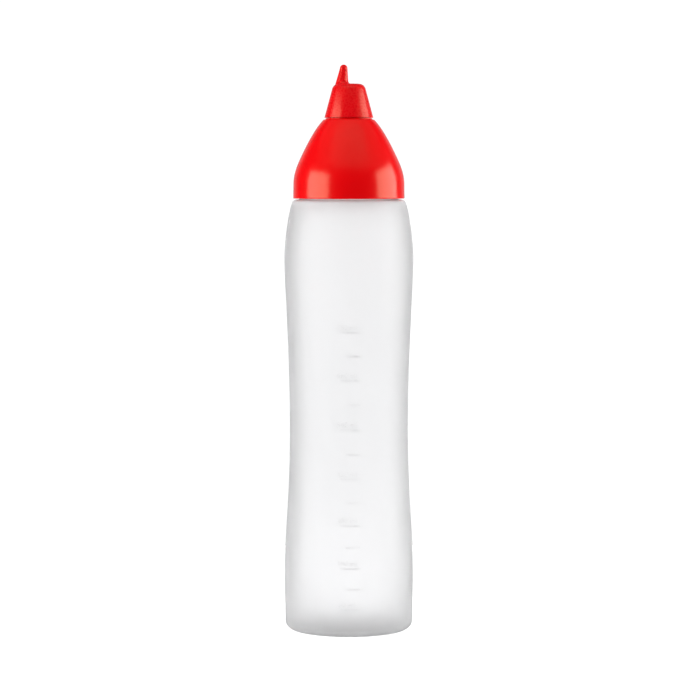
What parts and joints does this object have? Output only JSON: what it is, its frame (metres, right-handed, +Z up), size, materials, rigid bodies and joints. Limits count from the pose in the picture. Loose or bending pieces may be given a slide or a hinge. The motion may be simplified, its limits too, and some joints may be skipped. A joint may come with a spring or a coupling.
{
  "type": "condiment squeeze bottle",
  "caption": "Tall waisted translucent squeeze bottle for sauces, with a domed screw cap and a small tapered tip cap that carries an off-centre pull.",
  "frame": {"origin": "centre of the base, on the surface that the bottle stands on", "axes": "+Z up along the bottle's axis, -Y towards the front with the graduations, -X towards the pull on the tip cap"},
  "size_m": [0.08, 0.08, 0.35],
  "materials": {
    "milky_plastic": "frosted translucent blow-moulded plastic with a fine satin surface",
    "red_plastic": "semi-gloss injection-moulded red plastic",
    "red_tip_plastic": "semi-gloss red plastic, slightly softer than the dome"
  },
  "bodies": {
    "root": {"bottle": "milky_plastic", "dome_cap": "red_plastic", "tip_cap": "red_tip_plastic"}
  },
  "joints": []
}
